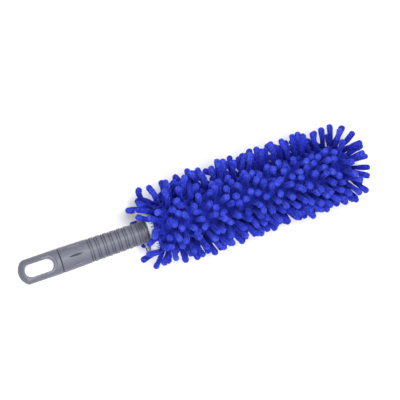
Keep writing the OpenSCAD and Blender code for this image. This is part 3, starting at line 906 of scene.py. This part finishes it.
def seam():
    """The lengthwise seam: a low welt of backing cloth with a zigzag stitch over it."""
    batch = Batch()
    t = facet_angle(SEAM_FACET)
    ys = np.arange(Y_CUFF_FRONT + 2 * MM, NOSE_START, 2 * MM)
    welt = np.array([on_oval(OVAL_A, OVAL_B, t + 0.01 * math.sin(i * 0.9), y, 0.3 * MM) for i, y in enumerate(ys)])
    verts, faces = tube(welt, np.full(len(ys), 0.95 * MM), 8)
    batch.add(verts, faces, 0, np.full(len(verts), 0.3), verts[:, :2] / MM)
    zig = np.array([
        on_oval(OVAL_A, OVAL_B, t + (0.05 if i % 2 else -0.05), y, (0.9 if i % 2 else 1.0) * MM)
        for i, y in enumerate(np.arange(Y_CUFF_FRONT + 2 * MM, NOSE_START, 1.6 * MM))
    ])
    verts, faces = tube(zig, np.full(len(zig), 0.3 * MM), 5)
    batch.add(verts, faces, 1, np.full(len(verts), 0.35), np.zeros((len(verts), 2)))
    return batch.build("seam_welt", [BACKING, STITCH])


welt = seam()
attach(welt, "sleeve")
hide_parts("seam_ridge")


# ---------------------------------------------------------------- foam pads
def foam_pad(name, low, high, side):
    """Half-oval foam pad with soft edges and shallow pressed channels across it."""
    across, stations = 36, 96
    a = (high.x - low.x) / 2
    flat = low.z if side > 0 else high.z
    b = abs((high.z if side > 0 else low.z) - AXIS_Z)
    ys = np.linspace(low.y, high.y, stations)
    verts, faces = [], []
    for y in ys:
        end = min(y - low.y, (high.y - y) * 1.6) / (5 * MM)
        soften = 1 - 0.10 * max(0, 1 - end) ** 2
        share = float(share_at(y + 2 * MM)) * soften
        groove = 1 - 0.035 * math.exp(-((((y - low.y) / (26 * MM)) % 1 - 0.5) * 9) ** 2)
        for k in range(across):
            t = math.pi * k / (across - 1)
            x = a * share * math.cos(t)
            rise = b * share * math.sin(t) * groove
            z = AXIS_Z + side * max(rise, abs(flat - AXIS_Z) + 0.02 * MM)
            verts.append((x, y, z))
    for i in range(stations - 1):
        for k in range(across - 1):
            f = (i * across + k, i * across + k + 1, (i + 1) * across + k + 1, (i + 1) * across + k)
            faces.append(f[::-1] if side > 0 else f)
        f = (i * across, (i + 1) * across, (i + 1) * across + across - 1, i * across + across - 1)
        faces.append(f[::-1] if side > 0 else f)
    faces.append(tuple(range(across))[:: 1 if side > 0 else -1])
    faces.append(tuple((stations - 1) * across + k for k in range(across))[:: -1 if side > 0 else 1])
    return make_object(name, verts, faces, FOAM)


for name, cad, box, side in (
    ("foam_pad_upper", "foam_upper", (foam_low, foam_high), 1),
    ("foam_pad_lower", "foam_lower", (under_low, under_high), -1),
):
    pad = foam_pad(name, *box, side)
    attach(pad, "core")
    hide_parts(cad)


# ---------------------------------------------------------------- floor, light and camera
def floor():
    m, tree, shader = new_material("floor_paper", 0.8, 0.0, 0.4, (1, 1, 1), 0.2)
    tint = noise(tree, coords(tree), 3, 2)
    tree.links.new(ramp(tree, tint, [(0.2, (0.93, 0.93, 0.935)), (0.8, (0.95, 0.95, 0.952))]), shader.inputs["Base Color"])
    size = 6.0
    obj = make_object("floor", [(-size, -size, 0), (size, -size, 0), (size, size, 0), (-size, size, 0)], [(0, 1, 2, 3)], m)
    obj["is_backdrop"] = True


floor()


def area_light(name, place, aim, size, power, colour):
    data = bpy.data.lights.new(name, "AREA")
    data.shape = "DISK"
    data.size, data.energy, data.color = size, power, colour
    obj = bpy.data.objects.new(name, data)
    obj.location = place
    obj.rotation_mode = "QUATERNION"
    obj.rotation_quaternion = (Vector(aim) - Vector(place)).to_track_quat("-Z", "Y")
    bpy.context.scene.collection.objects.link(obj)


area_light("key", (1.0, -0.6, 1.7), (0, 0, 0.05), 0.8, 30, (1, 0.99, 0.97))
area_light("fill", (-1.3, 0.3, 1.5), (0, 0, 0.05), 1.4, 13, (0.96, 0.98, 1))
area_light("top", (-0.1, 0.0, 2.2), (0, 0, 0.0), 1.0, 31, (1, 1, 1))

world = bpy.data.worlds.new("studio")
world.use_nodes = True
world.node_tree.nodes["Background"].inputs["Color"].default_value = (1, 1, 1, 1)
world.node_tree.nodes["Background"].inputs["Strength"].default_value = 0.35
bpy.context.scene.world = world
bpy.context.scene.view_settings.view_transform = "Standard"
bpy.context.scene.view_settings.look = "None"


def camera():
    """Seen from high above, a little from the handle's end and from the right, with the brush rising to the right."""
    back = unit([0.05, -0.19, 0.967])
    rise = math.radians(18.9)
    distance = 2.5
    mm_per_unit = 1.195
    width = 400 * mm_per_unit * MM
    along = unit(np.array([0, 1.0, 0]) - back * back[1])
    across = np.cross(back, along)
    right = along * math.cos(rise) - across * math.sin(rise)
    up = np.cross(back, right)
    target = np.array([0, 0, AXIS_Z]) + right * 4.4 * MM + up * 16.7 * MM
    data = bpy.data.cameras.new("camera")
    data.sensor_width = 36
    data.lens = 36 * distance / width
    data.clip_end = 50
    obj = bpy.data.objects.new("camera", data)
    place = target + back * distance
    matrix = Matrix.Identity(4)
    for i, column in enumerate((right, up, back)):
        for j in range(3):
            matrix[j][i] = column[j]
    matrix.translation = Vector(place)
    obj.matrix_world = matrix
    bpy.context.scene.collection.objects.link(obj)
    bpy.context.scene.camera = obj


camera()

low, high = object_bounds()
